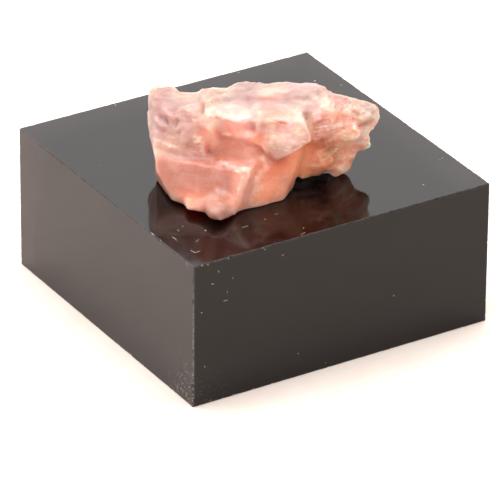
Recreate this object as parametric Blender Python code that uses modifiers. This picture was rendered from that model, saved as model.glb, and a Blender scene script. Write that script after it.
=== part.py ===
"""A broken piece of pink fluorite resting on a square block of black acrylic.

Metres, +Z up. The origin is the centre of the block's underside, and X and Y run along the block's sides.
The stone is laid out in a frame of its own, in millimetres: x along its length, y across it with the front
negative, and z up from its lowest point. That frame is turned on the block by STONE_TURN.
"""

import math

import bmesh
import bpy
from mathutils import Matrix, Vector, noise

MM = 0.001

BLOCK_SIDE = 33.0 * MM
BLOCK_HEIGHT = 15.0 * MM
BLOCK_EDGE = 0.15 * MM

STONE_TURN = math.radians(-31.5)
REST_GAP = 0.3 * MM

STONE_VOXEL = 0.13
STONE_TRIANGLES = 8200

# The stone is an intergrowth of cleavage blocks, each the hull of the corners that it shows or is rooted by.
BLOCKS = {
    "left block": [
        (-9.7, -1.6, 6.5), (-7.3, -3.0, 6.7), (-9.0, -2.6, 6.7), (-9.1, -3.3, 6.1),
        (-8.3, -3.9, 6.2), (-6.4, -4.1, 6.4), (-4.5, -6.2, 6.2), (-10.0, -0.9, 5.7),
        (-10.3, -0.3, 4.2), (-9.7, -4.3, 3.8), (-9.3, -7.6, 3.4), (-8.3, -7.8, 3.5),
        (-6.4, -7.9, 3.5), (-4.4, -8.3, 3.4), (-9.6, 0.6, 4.4), (-7.5, 1.0, 5.4),
        (-4.5, 0.8, 5.8), (-4.5, 0.9, 2.9), (-9.6, -2.1, 2.3), (-9.2, -3.6, 0.9),
        (-4.0, -5.0, 0.5), (-5.2, -1.1, 7.0), (-7.2, -1.0, 6.8), (-5.0, -4.5, 6.8),
        (-8.9, 0.3, 3.2), (-5.0, -1.5, 1.5),
    ],
    "knob": [
        (-9.9, -0.9, 7.0), (-9.4, -0.2, 7.3), (-7.6, -0.1, 7.3), (-7.1, -0.9, 7.0),
        (-7.3, -2.6, 6.9), (-9.3, -2.3, 6.9), (-10.3, -0.6, 5.2), (-9.4, 0.6, 5.0),
        (-7.4, 0.4, 5.6), (-7.0, -2.6, 5.6), (-9.5, -3.0, 5.8),
    ],
    "lower left face": [
        (-9.3, -7.6, 3.4), (-8.3, -7.8, 3.4), (-6.4, -8.0, 3.4), (-4.9, -8.3, 3.3),
        (-9.3, -5.0, 0.0), (-9.1, -8.5, 2.3), (-8.8, -8.7, 1.8), (-7.6, -10.3, 0.2),
        (-6.5, -10.9, 0.2), (-3.0, -12.2, 0.7), (-2.6, -10.0, 3.5), (-2.0, -6.0, 0.2),
        (-3.0, -5.0, 3.0), (-8.5, -4.5, 3.0),
    ],
    "lower lip": [
        (-6.6, -10.9, 0.2), (-6.2, -12.7, 0.4), (-4.4, -13.3, 0.4), (-4.2, -12.0, 1.3),
        (-6.2, -11.2, 1.1), (-4.0, -9.0, 0.1), (-6.0, -9.0, 0.1),
    ],
    "front tip": [
        (-4.3, -14.1, 0.4), (-2.9, -14.8, 0.3), (-1.4, -12.7, 0.1), (-4.3, -13.5, 0.8),
        (-2.8, -14.0, 0.8), (-1.8, -12.0, 1.3), (-4.6, -12.3, 0.9), (-3.0, -9.0, 0.1),
        (-1.5, -10.0, 0.1), (-3.4, -9.5, 2.2),
    ],
    "prow": [
        (-4.7, -7.6, 3.7), (-4.3, -8.6, 3.4), (-2.6, -10.1, 3.7), (-1.2, -10.9, 3.8),
        (-0.1, -11.2, 3.9), (-0.5, -11.5, 2.5), (-1.2, -11.9, 2.0), (-1.5, -12.5, 0.2),
        (-0.6, -11.5, 0.0), (-4.0, -7.0, 3.8), (1.0, -7.0, 3.9), (1.0, -7.0, 0.3),
        (-4.0, -8.0, 0.3),
    ],
    "middle body": [
        (-5.0, -5.7, 6.0), (-4.2, -6.7, 5.9), (-1.2, -7.9, 6.0), (-0.1, -8.3, 5.8),
        (0.5, -8.5, 5.3), (-4.5, -7.2, 3.8), (-2.3, -8.5, 3.8), (-0.2, -9.5, 4.0),
        (1.0, -9.0, 3.5), (4.5, -6.5, 5.5), (4.0, -6.5, 3.0), (-4.5, 0.5, 6.4),
        (-4.5, 0.8, 2.8), (4.6, 0.2, 6.8), (4.8, 0.6, 2.6), (-3.0, -6.5, 0.15),
        (3.2, -5.6, 0.3), (4.5, -6.0, 7.0), (-4.0, -5.0, 7.0), (0.5, -3.5, 0.4),
    ],
    "core": [
        (-3.4, -9.4, 0.2), (1.6, -9.6, 0.2), (2.6, -5.2, 0.3), (-3.6, -5.2, 0.3),
        (-3.0, -8.0, 3.4), (1.4, -8.0, 3.4), (1.6, -4.4, 3.6), (-3.0, -4.4, 3.6),
    ],
    "back slab": [
        (-6.8, 0.9, 4.4), (-6.2, 0.2, 2.0), (-2.6, 1.7, 1.9), (1.2, 2.1, 2.8),
        (2.9, 1.5, 4.8), (0.4, 1.4, 6.4), (-3.4, 1.3, 5.9), (0.6, -3.0, 0.5),
        (-4.0, -3.0, 0.6), (0.5, -2.0, 7.4), (-3.5, -2.0, 6.8),
    ],
    "right back slab": [
        (2.6, 0.9, 2.0), (5.6, 1.5, 3.1), (8.6, 0.5, 2.4), (9.8, 0.2, 4.3),
        (7.6, 0.6, 6.0), (4.4, 0.9, 6.9), (2.4, 0.3, 7.3), (3.0, -4.0, 1.2),
        (8.2, -3.5, 1.4), (7.5, -2.5, 6.8), (3.0, -3.0, 7.3),
    ],
    "brow": [
        (-5.2, -5.7, 6.4), (-4.3, -7.1, 6.1), (-1.2, -8.25, 6.2), (0.0, -8.9, 6.0),
        (0.6, -9.15, 5.4), (-0.9, -8.45, 5.7), (-4.2, -6.9, 5.7), (-4.6, -5.0, 6.6),
        (0.6, -7.0, 7.0), (-2.6, -7.5, 7.0), (0.8, -7.0, 5.4), (-4.0, -5.0, 5.4),
    ],
    "terrace": [
        (-4.6, -5.4, 7.2), (-2.6, -7.8, 7.5), (-0.8, -8.3, 7.7), (0.4, -7.7, 7.8),
        (4.7, -7.3, 7.5), (-3.5, -5.1, 7.6), (0.9, -4.9, 8.0), (-4.3, -6.4, 6.0),
        (-2.6, -7.3, 6.0), (-1.2, -7.7, 6.0), (4.9, -6.6, 5.5), (-4.5, -3.0, 6.0),
        (5.0, -3.0, 6.0), (4.9, -5.6, 7.8), (-4.5, -2.5, 7.2),
    ],
    "lower top plate": [
        (-5.2, -1.2, 7.3), (-3.6, -1.4, 7.6), (-1.6, -1.6, 7.8), (-3.6, -4.9, 7.8),
        (0.5, -4.9, 8.1), (-5.0, -3.5, 7.2), (-4.0, 0.6, 5.4), (1.0, 0.6, 5.4),
        (-4.0, -4.5, 5.4), (1.0, -4.5, 5.4),
    ],
    "upper top plate": [
        (-1.9, -1.2, 8.2), (1.8, -1.4, 8.5), (4.4, -1.7, 8.5), (6.7, -1.9, 8.3),
        (7.5, -2.0, 7.8), (-2.4, -3.8, 8.1), (0.9, -4.8, 8.5), (2.2, -4.5, 8.7),
        (4.8, -3.4, 8.9), (6.5, -3.2, 8.4), (5.0, -5.4, 8.0), (7.6, -4.9, 7.4),
        (-1.5, 0.4, 5.4), (5.0, 0.6, 5.4), (7.0, 0.2, 5.4), (-1.5, -4.0, 5.4),
        (7.0, -4.5, 5.4),
    ],
    "wedge block": [
        (0.2, -8.2, 7.5), (4.8, -7.7, 7.5), (5.7, -7.9, 5.2), (4.6, -8.0, 5.0),
        (3.2, -9.0, 4.4), (2.3, -9.3, 3.8), (1.3, -9.2, 4.6), (0.8, -9.1, 5.1),
        (0.3, -8.8, 6.0), (0.5, -6.0, 7.3), (4.7, -5.5, 7.3), (4.5, -6.0, 5.0),
        (2.0, -6.5, 4.2),
    ],
    "right front face": [
        (0.0, -9.7, 3.8), (0.5, -8.3, 5.0), (3.1, -7.4, 5.5), (5.3, -6.9, 5.4),
        (-0.6, -11.5, 0.0), (1.0, -10.7, 0.0), (2.9, -9.5, 0.0), (3.4, -8.4, 0.0),
        (3.9, -7.2, 0.1), (4.1, -6.6, 0.5), (3.7, -7.0, 3.3), (-1.0, -6.0, 0.3),
        (3.5, -4.0, 0.6), (-1.0, -4.0, 5.0), (4.0, -4.0, 5.0),
    ],
    "right lobe": [
        (6.6, -2.0, 8.0), (7.4, -2.0, 7.6), (9.5, -2.1, 7.0), (11.3, -2.4, 6.6),
        (12.1, -2.3, 6.2), (12.3, -2.2, 5.6), (4.9, -5.9, 7.7), (7.6, -5.3, 7.2),
        (9.9, -4.7, 6.7), (11.2, -3.7, 6.2), (11.7, -1.9, 4.8), (11.7, -2.4, 4.2),
        (11.0, -2.4, 2.9), (10.6, -2.9, 2.1), (9.8, -2.8, 1.8), (5.0, -7.0, 4.6),
        (8.5, -5.5, 4.0), (6.6, 0.8, 5.5), (10.5, -0.2, 4.8), (9.5, 0.0, 3.0),
        (5.0, -4.0, 3.0),
    ],
    "lobe root": [
        (4.6, -7.1, 0.7), (6.1, -6.2, 0.8), (7.4, -5.5, 0.9), (8.9, -4.2, 0.7),
        (9.8, -3.0, 1.1), (9.8, -2.7, 2.2), (4.8, -6.9, 4.0), (8.4, -5.3, 3.5),
        (4.0, -5.0, 1.2), (6.5, 0.2, 1.6), (9.0, -0.8, 1.8), (4.0, 0.8, 2.2),
        (6.5, 0.8, 4.5), (9.0, 0.0, 4.0), (3.5, -4.0, 4.0),
    ],
    "foot": [
        (8.0, -4.7, 0.0), (7.4, -5.1, 0.4), (9.1, -4.1, 0.1), (8.8, -2.6, 0.3),
        (7.0, -3.2, 0.3), (7.4, -5.0, 2.2), (9.2, -3.4, 2.0), (8.0, -2.0, 2.2),
    ],
}

# Rounded swellings on the broken parts: centre and half sizes.
SWELLINGS = {
    "tip lens": ((-3.4, -12.2, 0.75), (1.2, 2.3, 0.85)),
    "lobe shoulder": ((6.2, -5.5, 6.7), (0.55, 0.6, 0.75)),
    "lobe cheek": ((8.4, -4.9, 5.0), (1.7, 1.0, 1.5)),
    "lobe brow": ((9.9, -4.0, 6.1), (1.3, 1.0, 0.7)),
    "lobe end": ((11.3, -2.9, 5.5), (0.9, 0.9, 1.0)),
    "lobe chin": ((10.3, -3.1, 2.5), (0.75, 0.7, 0.55)),
    "lobe jowl": ((6.0, -6.0, 2.3), (1.6, 0.9, 1.4)),
    "lobe heel": ((9.3, -3.6, 1.5), (0.75, 0.9, 1.0)),
    "toe": ((8.2, -4.2, 0.65), (0.95, 0.85, 0.65)),
}

# How rough each zone is, from 0 on a smooth face to 1, and the places over which it begins or ends.
CLEAN_FACE = 0.15
LEFT_BLOCK = 0.9
LEFT_BLOCK_FLOOR_Z = (3.3, 3.9)
LEFT_BLOCK_END_X = (-5.2, -4.4)
TOP = 0.6
TOP_START_Z = (6.8, 7.4)
BACK = 0.8
BACK_START_Y = (-3.0, -1.5)
LOBE_START_X = (5.0, 6.5)

# Layering: the stone parts most easily along planes that dip gently to the front.
LAYER_NORMAL = Vector((0.05, -0.16, 0.98)).normalized()
LAYER_STEP = 0.62
LAYER_WANDER = 0.60
LAYER_PATCH = 3.1
LAYER_PRESENT = (-0.3, 0.35)
LAYER_OFFSET = Vector((11.0, 5.0, 3.0))
LEDGE_EDGES = (0.38, 0.62)
LEDGE_LEAST_ROUGH = (0.2, 0.5)
LEDGE_LOSS_ON_LOBE = 0.75

# Broken faces: flat chips that tilt each its own way, longer along the layers than across them.
CHIP_SIZE = Vector((2.4, 1.6, 0.9))
CHIP_TILT = 0.16
CHIP_STEP = 0.07
CHIP_TILT_SEED = 5.7
CHIP_STEP_SEED = 9.1
NOISE_SEED = 11

# The lobe at the right end is lumpy.
LUMPS_START_X = (5.0, 7.0)
LUMP_SIZE = 1.3
LUMP_HEIGHT = 0.26


def clear_scene():
    for thing in list(bpy.data.objects):
        bpy.data.objects.remove(thing, do_unlink=True)


def material(name, colour, roughness, transmission=0.0, index=1.45):
    finish = bpy.data.materials.new(name)
    finish.use_nodes = True
    shader = finish.node_tree.nodes["Principled BSDF"]
    shader.inputs["Base Color"].default_value = (*colour, 1.0)
    shader.inputs["Roughness"].default_value = roughness
    shader.inputs["Metallic"].default_value = 0.0
    shader.inputs["Transmission Weight"].default_value = transmission
    shader.inputs["IOR"].default_value = index
    return finish


def new_object(name, mesh, collection, finish=None):
    piece = bpy.data.objects.new(name, mesh)
    collection.objects.link(piece)
    if finish is not None:
        mesh.materials.append(finish)
    return piece


def display_block(collection):
    """The black acrylic block, with its edges just broken."""
    shape = bmesh.new()
    bmesh.ops.create_cube(shape, size=1.0)
    bmesh.ops.scale(shape, vec=(BLOCK_SIDE, BLOCK_SIDE, BLOCK_HEIGHT), verts=shape.verts)
    bmesh.ops.translate(shape, vec=(0.0, 0.0, BLOCK_HEIGHT / 2), verts=shape.verts)
    mesh = bpy.data.meshes.new("display_block")
    shape.to_mesh(mesh)
    shape.free()
    finish = material("black_acrylic", (0.012, 0.011, 0.011), 0.06)
    piece = new_object("display_block", mesh, collection, finish)
    edges = piece.modifiers.new("broken edges", "BEVEL")
    edges.width = BLOCK_EDGE
    edges.segments = 2
    return piece


def hull_object(name, corners, collection):
    """One cleavage block: the convex hull of its corners, in millimetres."""
    shape = bmesh.new()
    for corner in corners:
        shape.verts.new(corner)
    made = bmesh.ops.convex_hull(shape, input=shape.verts)
    loose = [v for v in made["geom_interior"] + made["geom_unused"] if isinstance(v, bmesh.types.BMVert)]
    bmesh.ops.delete(shape, geom=list(set(loose)), context="VERTS")
    bmesh.ops.recalc_face_normals(shape, faces=shape.faces)
    mesh = bpy.data.meshes.new(name)
    shape.to_mesh(mesh)
    shape.free()
    return new_object(name, mesh, collection)


def swelling_object(name, centre, half_sizes, collection):
    """A rounded lump: a ball stretched to its half sizes, in millimetres."""
    shape = bmesh.new()
    bmesh.ops.create_icosphere(shape, subdivisions=3, radius=1.0)
    bmesh.ops.scale(shape, vec=half_sizes, verts=shape.verts)
    bmesh.ops.translate(shape, vec=centre, verts=shape.verts)
    mesh = bpy.data.meshes.new(name)
    shape.to_mesh(mesh)
    shape.free()
    return new_object(name, mesh, collection)


def baked_mesh(piece, name):
    """The piece's mesh with its modifiers applied."""
    graph = bpy.context.evaluated_depsgraph_get()
    graph.update()
    mesh = bpy.data.meshes.new_from_object(piece.evaluated_get(graph))
    mesh.name = name
    return mesh


def ramp(low, high, value):
    """0 below low, 1 above high, eased between."""
    share = min(max((value - low) / (high - low), 0.0), 1.0)
    return share * share * (3.0 - 2.0 * share)


def brokenness(point):
    """How rough the stone is here: low on its clean cleavage faces, high on the left block and the lobe."""
    left_block = ramp(*LEFT_BLOCK_FLOOR_Z, point.z) * (1.0 - ramp(*LEFT_BLOCK_END_X, point.x))
    lobe = ramp(*LOBE_START_X, point.x)
    top = ramp(*TOP_START_Z, point.z)
    back = ramp(*BACK_START_Y, point.y)
    return max(CLEAN_FACE, LEFT_BLOCK * left_block, lobe, TOP * top, BACK * back)


def ledge_move(point):
    """Along the layer normal: gathers a slope into treads and risers."""
    height = point.dot(LAYER_NORMAL) + LAYER_WANDER * noise.noise(point / LAYER_PATCH)
    level = height / LAYER_STEP
    tread = math.floor(level)
    stepped = (tread + ramp(*LEDGE_EDGES, level - tread)) * LAYER_STEP
    return LAYER_NORMAL * (stepped - height)


def chip_height(point):
    """Height of the flat chip that this point of a broken face lies on."""
    spot = Vector((point.x / CHIP_SIZE.x, point.y / CHIP_SIZE.y, point.z / CHIP_SIZE.z))
    centre = noise.voronoi(spot)[1][0]
    tilt = noise.noise_vector(centre * CHIP_TILT_SEED)
    offset = spot - centre
    reach = Vector((offset.x * CHIP_SIZE.x, offset.y * CHIP_SIZE.y, offset.z * CHIP_SIZE.z))
    return CHIP_TILT * reach.dot(tilt) + CHIP_STEP * noise.noise(centre * CHIP_STEP_SEED)


def roughen(mesh):
    """Ledges, chips and lumps, raised on a closed mesh in the stone's own frame."""
    noise.seed_set(NOISE_SEED)
    shape = bmesh.new()
    shape.from_mesh(mesh)
    shape.normal_update()
    moves = []
    for vert in shape.verts:
        point = vert.co
        rough = brokenness(point)
        lumpy = ramp(*LUMPS_START_X, point.x)
        height = rough * chip_height(point) + LUMP_HEIGHT * lumpy * noise.noise(point / LUMP_SIZE)
        layered = ramp(*LAYER_PRESENT, noise.noise(point / LAYER_PATCH + LAYER_OFFSET))
        layered *= (1.0 - LEDGE_LOSS_ON_LOBE * lumpy) * ramp(*LEDGE_LEAST_ROUGH, rough)
        moves.append(vert.normal * height + ledge_move(point) * rough * layered)
    for vert, move in zip(shape.verts, moves):
        vert.co += move
        vert.co.z = max(vert.co.z, 0.0)
    shape.to_mesh(mesh)
    shape.free()


def with_modifier(mesh, tools, kind, settings):
    """A new mesh: the given one after one modifier."""
    carrier = new_object("carrier", mesh, tools)
    step = carrier.modifiers.new(kind.lower(), kind)
    for name, value in settings.items():
        setattr(step, name, value)
    result = baked_mesh(carrier, mesh.name)
    bpy.data.objects.remove(carrier, do_unlink=True)
    return result


def fluorite(collection, tools):
    """The stone: its cleavage blocks grown into one solid, roughened and thinned to a faceted skin."""
    blocks = [hull_object(name, corners, tools) for name, corners in BLOCKS.items()]
    blocks += [swelling_object(name, *sizes, tools) for name, sizes in SWELLINGS.items()]
    body = blocks[0]
    for other in blocks[1:]:
        joint = body.modifiers.new("with " + other.name, "BOOLEAN")
        joint.operation = "UNION"
        joint.solver = "EXACT"
        joint.object = other
    mesh = baked_mesh(body, "fluorite")
    for block in blocks:
        bpy.data.objects.remove(block, do_unlink=True)
    grid = {"mode": "VOXEL", "voxel_size": STONE_VOXEL}
    mesh = with_modifier(mesh, tools, "REMESH", grid)
    roughen(mesh)
    mesh = with_modifier(mesh, tools, "REMESH", grid)
    share = STONE_TRIANGLES / (2 * len(mesh.polygons))
    mesh = with_modifier(mesh, tools, "DECIMATE", {"ratio": share, "use_collapse_triangulate": True})
    place = Matrix.Translation((0.0, 0.0, BLOCK_HEIGHT + REST_GAP))
    place = place @ Matrix.Rotation(STONE_TURN, 4, "Z") @ Matrix.Scale(MM, 4)
    mesh.transform(place)
    finish = material("pink_fluorite", (0.83, 0.38, 0.28), 0.35, transmission=0.2, index=1.434)
    return new_object("fluorite", mesh, collection, finish)


def main():
    clear_scene()
    scene = bpy.context.scene
    specimen = bpy.data.collections.new("fluorite_specimen")
    tools = bpy.data.collections.new("cutters")
    scene.collection.children.link(specimen)
    scene.collection.children.link(tools)
    display_block(specimen)
    fluorite(specimen, tools)


main()
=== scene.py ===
"""Looks of the pink fluorite specimen: the broken stone, the polished block and a plain pale table."""

import math

import bmesh
import bpy
import numpy as np
from mathutils import Matrix, Vector, noise
from mathutils.bvhtree import BVHTree


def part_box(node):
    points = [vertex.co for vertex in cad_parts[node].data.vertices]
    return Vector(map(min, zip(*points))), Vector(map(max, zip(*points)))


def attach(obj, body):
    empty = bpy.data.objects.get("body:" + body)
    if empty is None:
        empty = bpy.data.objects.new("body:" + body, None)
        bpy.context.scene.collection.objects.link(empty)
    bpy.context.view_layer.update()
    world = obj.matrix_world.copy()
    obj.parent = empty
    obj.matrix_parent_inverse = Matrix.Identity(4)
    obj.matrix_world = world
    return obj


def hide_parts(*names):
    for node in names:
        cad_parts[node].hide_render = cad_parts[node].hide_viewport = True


MM = 0.001

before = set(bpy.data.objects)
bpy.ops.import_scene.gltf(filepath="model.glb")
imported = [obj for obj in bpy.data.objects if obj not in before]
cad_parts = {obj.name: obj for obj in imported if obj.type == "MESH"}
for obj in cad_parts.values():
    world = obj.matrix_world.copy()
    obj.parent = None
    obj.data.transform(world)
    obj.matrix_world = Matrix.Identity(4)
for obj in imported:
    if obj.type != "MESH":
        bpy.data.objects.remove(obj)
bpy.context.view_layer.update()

BLOCK_LOW, BLOCK_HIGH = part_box("display_block")
BLOCK_TOP = BLOCK_HIGH.z

# Half the block's sides, in millimetres.
HALF_BLOCK = (BLOCK_HIGH - BLOCK_LOW) / (2 * MM)

# The stone's own frame, in millimetres: x along it, y across it (front negative), z up from the block's top.
STONE_TURN = math.radians(-31.5)
TO_TABLE = (
    Matrix.Translation((0.0, 0.0, BLOCK_TOP))
    @ Matrix.Rotation(STONE_TURN, 4, "Z")
    @ Matrix.Scale(MM, 4)
)
TO_STONE = TO_TABLE.inverted()

NOISE_SEED = 11

# ---------------------------------------------------------------- the stone's relief

# The grain of the stone's mesh, and the bend past which one of its edges stays sharp.
FINE_VOXEL = 0.108
SHARP_ANGLE = math.radians(32)

# The stone bears on the block at its lowest points, so what is lower than SETTLE_HEIGHTS comes down.
SETTLE_DEPTH = 0.26
SETTLE_HEIGHTS = (0.3, 1.0)
LOWEST = 0.02

# Fine treads and risers where the layers break: the direction they stack in, their step, how hard each
# point is pulled to its tread, and the size and values of the noise that picks where they show.
LAYERS = Vector((0.05, -0.16, 0.98)).normalized()
LAYER_STEP = 0.34
LAYER_PULL = 0.5
LAYER_FIELD = 2.6
LAYER_SHOWS = (-0.25, 0.25)
LAYER_LOSS_ON_WEDGE = 0.8
CROSS_LAYERS = Vector((0.80, -0.52, 0.30)).normalized()
CROSS_STEP = 0.46
CROSS_PULL = 0.15
CROSS_FIELD = 2.1
CROSS_SHOWS = (0.0, 0.35)

# How far the layers wander and over what size, where a riser lies in its step, and how rough a face is
# before its layers show.
LAYER_WANDER = 0.30
LAYER_PATCH = 1.9
RISER = (0.40, 0.60)
STEPPED_FROM = (0.3, 0.7)

# Flat chips and small flakes on broken faces, and slow ripples on clean ones. A chip's tilt and its step
# are read from the noise at multiples of its centre.
CHIP_SIZE = Vector((0.95, 0.62, 0.40))
CHIP_TILT = 0.16
TILT_FROM = 5.7
CHIP_STEP = 0.05
STEP_FROM = 9.1
FLAKE_SIZE = 0.42
FLAKE_HEIGHT = 0.03
RIPPLE_SIZE = 1.7
RIPPLE_HEIGHT = 0.045

# Edges are worn soft, then the whole surface is bent a little, so that no edge runs straight: the size and
# reach of each bend, the heights over which they set in, and their share on clean faces.
SOFTENING_PASSES = 5
BENDS = ((2.3, 0.22), (0.85, 0.13))
BEND_RISE = (0.2, 1.2)
BEND_LEAST = 0.25

# Where the stone is broken: the height, end or side from which each part of it starts.
LEFT_BLOCK_RISE = (3.8, 4.4)
LEFT_BLOCK_END = (-5.2, -4.4)
LOBE_START = (5.0, 6.2)
TOP_RISE = (7.3, 7.9)
BACK_START = (-3.0, -1.5)
STEP_REACH = (0.3, 0.9)

# The broken wedge on the front: its middle and how far it reaches.
WEDGE = np.array((3.0, -8.3, 6.4))
WEDGE_REACH = np.array((3.2, 1.8, 2.4))

# How rough each part is broken; the clean cleavage faces between them have the least.
BROKEN = {
    "left block": 0.45, "lobe": 1.0, "top": 0.45, "back": 0.8, "wedge": 0.75, "step": 0.7, "clean": 0.10,
}

# White lines and patches, from fracture and from painted highlights: corners, half width, how white, how far
# they stand out.
WHITE_MARKS = {
    # Fracture white with painted sheen on this upward-facing terrace.
    "terrace": (
        [(-4.0, -5.9, 7.6), (-2.6, -6.9, 7.9), (-1.2, -7.0, 8.0), (-0.1, -6.2, 8.0)], 0.9, 1.0, 0.0,
    ),
    "terrace back": ([(-3.4, -5.8, 7.9), (-1.2, -5.2, 8.1), (0.0, -5.1, 8.2)], 0.45, 0.4, 0.02),
    "crown rim": (
        [(-1.8, -2.1, 8.5), (0.9, -2.0, 8.7), (4.5, -2.4, 9.0), (6.6, -2.6, 8.6)], 1.1, 0.55, 0.0,
    ),
    "crown streak": ([(1.6, -4.7, 8.9), (3.0, -4.2, 9.1), (4.7, -3.6, 9.1)], 0.34, 0.95, 0.02),
    "shoulder streak": ([(4.9, -5.4, 8.2), (6.4, -5.2, 8.0), (7.6, -5.2, 7.6)], 0.24, 0.8, 0.02),
    "shoulder fleck": ([(4.7, -4.7, 8.7), (5.6, -4.4, 8.5)], 0.18, 0.8, 0.0),
    "right crest": ([(7.5, -2.6, 8.0), (8.8, -2.6, 7.5), (10.2, -2.7, 7.2)], 0.7, 0.9, 0.0),
    "right end": ([(10.6, -2.9, 7.1), (11.5, -2.7, 6.7), (11.9, -3.0, 6.0)], 0.6, 0.8, 0.0),
    "right end low": ([(12.0, -3.0, 5.6), (11.6, -2.8, 4.4), (11.0, -2.9, 3.0)], 0.45, 0.6, 0.0),
    "bright chip": ([(-5.9, -6.9, 5.4), (-5.0, -6.9, 5.5), (-5.4, -7.2, 5.1)], 0.30, 0.8, 0.03),
    "small chip": ([(-5.7, -5.4, 6.5), (-5.1, -5.8, 6.7)], 0.16, 0.8, 0.02),
    "brow ridge": (
        [(-5.1, -5.8, 6.6), (-4.7, -6.4, 6.5), (-4.2, -7.0, 6.3), (-3.6, -7.2, 6.1), (-2.2, -8.0, 6.3)],
        0.26, 0.7, 0.01,
    ),
    "brow end": ([(-2.2, -8.0, 6.3), (-0.7, -8.6, 6.2), (0.4, -8.8, 5.4)], 0.3, 0.4, 0.01),
    "step ridge": (
        [(-4.9, -7.4, 4.8), (-4.6, -7.8, 4.3), (-4.1, -8.1, 4.0), (-3.5, -9.0, 4.0), (-2.5, -9.7, 4.1),
         (-1.5, -10.4, 4.1), (-0.2, -10.8, 4.2)],
        0.32, 0.6, 0.01,
    ),
    "step chips": ([(-1.6, -10.7, 3.9), (-0.9, -11.0, 4.0)], 0.28, 0.8, 0.02),
    # Painted highlight: the sheen down the prow.
    "sheen": (
        [(-1.2, -11.0, 3.9), (-0.8, -11.4, 3.4), (-1.2, -11.7, 2.7), (-1.5, -11.9, 2.2)], 0.36, 0.40, 0.01,
    ),
    # Painted highlight: a glint on the prow.
    "prow glint": ([(-1.6, -11.8, 2.4), (-1.2, -11.7, 2.6)], 0.16, 1.0, 0.02),
    # Painted highlight on the wedge's bright patch.
    "wedge highlight": (
        [(3.0, -8.5, 6.3), (3.8, -8.3, 6.6), (4.5, -8.0, 6.7), (4.1, -8.3, 6.2)], 0.55, 0.9, 0.02,
    ),
    "wedge lower edge": (
        [(1.1, -9.0, 5.5), (1.6, -9.1, 5.1), (2.3, -9.2, 4.5), (3.1, -8.9, 4.9), (3.6, -8.7, 5.4),
         (4.5, -8.3, 5.7)],
        0.28, 0.55, 0.01,
    ),
    "wedge ridge": (
        [(4.8, -7.6, 7.6), (5.2, -7.4, 6.9), (5.5, -7.6, 6.3), (5.4, -7.9, 5.8)], 0.22, 0.6, 0.01,
    ),
    "wedge flake": ([(4.5, -8.3, 5.6), (4.8, -8.3, 5.3), (4.6, -7.8, 4.8)], 0.18, 0.8, 0.03),
    "lobe bump": ([(5.9, -5.9, 7.5), (6.0, -6.1, 7.1), (6.1, -6.2, 6.7)], 0.42, 0.7, 0.0),
    "lobe veil": ([(7.3, -6.0, 5.6), (8.3, -5.9, 4.8)], 0.6, 0.45, 0.0),
    "foot rim": ([(8.9, -4.9, 2.6), (8.6, -4.8, 1.2), (8.2, -4.9, 0.4)], 0.5, 0.15, 0.0),
    "tip film": ([(-3.7, -12.2, 1.8), (-3.1, -12.9, 1.8), (-2.6, -13.3, 1.5)], 0.9, 0.35, 0.0),
    "left splinter": ([(-8.1, -4.1, 6.7), (-7.9, -4.8, 6.0), (-8.0, -5.5, 5.6)], 0.18, 0.6, 0.02),
    "left splinter two": ([(-7.6, -4.0, 6.5), (-7.4, -4.9, 6.4)], 0.14, 0.6, 0.02),
    "left rim": (
        [(-10.2, -1.2, 6.4), (-10.0, -2.6, 5.0), (-9.7, -4.4, 3.9), (-9.4, -6.6, 3.2)], 0.55, 0.7, 0.0,
    ),
    "left rim low": ([(-9.3, -7.6, 3.0), (-9.0, -8.5, 2.0), (-8.0, -9.8, 0.8)], 0.3, 0.45, 0.0),
    "left band": ([(-8.8, -5.7, 5.2), (-7.7, -5.8, 5.5), (-5.9, -6.8, 5.5)], 0.45, 0.5, 0.0),
    "left low band": ([(-8.7, -7.1, 4.1), (-6.4, -7.7, 4.2), (-5.0, -8.1, 3.9)], 0.32, 0.5, 0.0),
    "corner facet": (
        [(0.9, -9.2, 4.5), (1.3, -9.3, 3.8), (0.9, -9.7, 3.2), (0.3, -10.1, 2.8)], 0.4, 0.35, 0.0,
    ),
    "back ledge": (
        [(-7.0, -2.1, 7.3), (-4.1, -3.2, 7.9), (-3.5, -2.7, 7.9), (-2.0, -3.3, 8.4)], 0.6, 0.7, 0.0,
    ),
    "saddle": ([(-7.0, -2.4, 7.1), (-5.8, -1.8, 7.2), (-4.8, -1.6, 7.5)], 0.45, 0.8, 0.0),
}

# The marks whose white is creamy; the others' is lilac or creamy from place to place.
CREAM_MARKS = (
    "terrace", "bright chip", "small chip", "saddle", "back ledge", "wedge highlight", "shoulder streak",
)
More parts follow.
